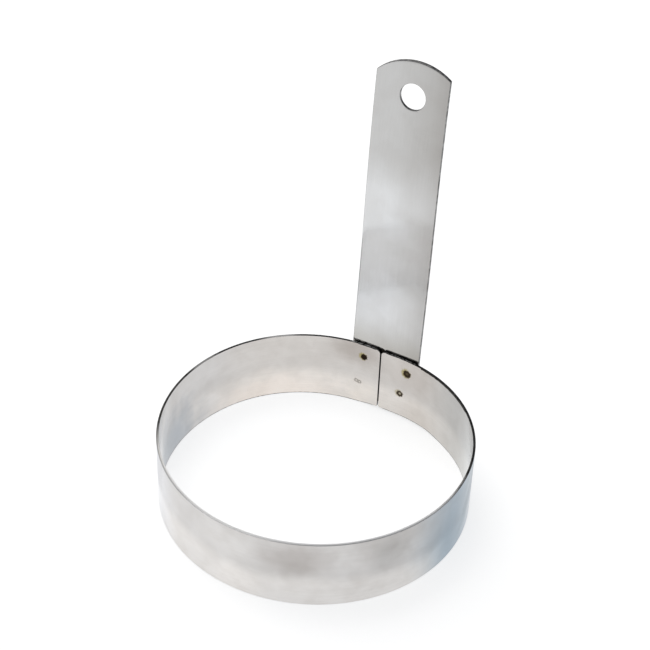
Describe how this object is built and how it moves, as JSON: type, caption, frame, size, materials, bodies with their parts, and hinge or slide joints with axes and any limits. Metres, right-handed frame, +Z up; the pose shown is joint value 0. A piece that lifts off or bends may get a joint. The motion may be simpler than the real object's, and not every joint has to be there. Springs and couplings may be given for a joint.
{
  "type": "egg ring",
  "caption": "Round stainless band with an open seam and an upright strip handle with a hang hole, for keeping a frying egg in a neat circle.",
  "frame": {"origin": "on the surface that the ring stands on, in the middle of the object's outline seen from above", "axes": "+Z up, +Y from the ring towards its handle, +X to the right seen from the open front of the ring"},
  "size_m": [0.1016, 0.1082, 0.132],
  "materials": {
    "ring_steel": "cold-rolled stainless sheet, satin, with faint rolling lines and smudges",
    "handle_steel": "cold-rolled stainless sheet, satin, with darker sheared edges",
    "weld_steel": "fused steel with brown heat tint"
  },
  "bodies": {
    "root": {"ring_band": "ring_steel", "handle": "handle_steel", "spot_weld_upper_left": "weld_steel", "spot_weld_lower_left": "weld_steel", "spot_weld_upper_right": "weld_steel", "spot_weld_lower_right": "weld_steel"}
  },
  "joints": []
}
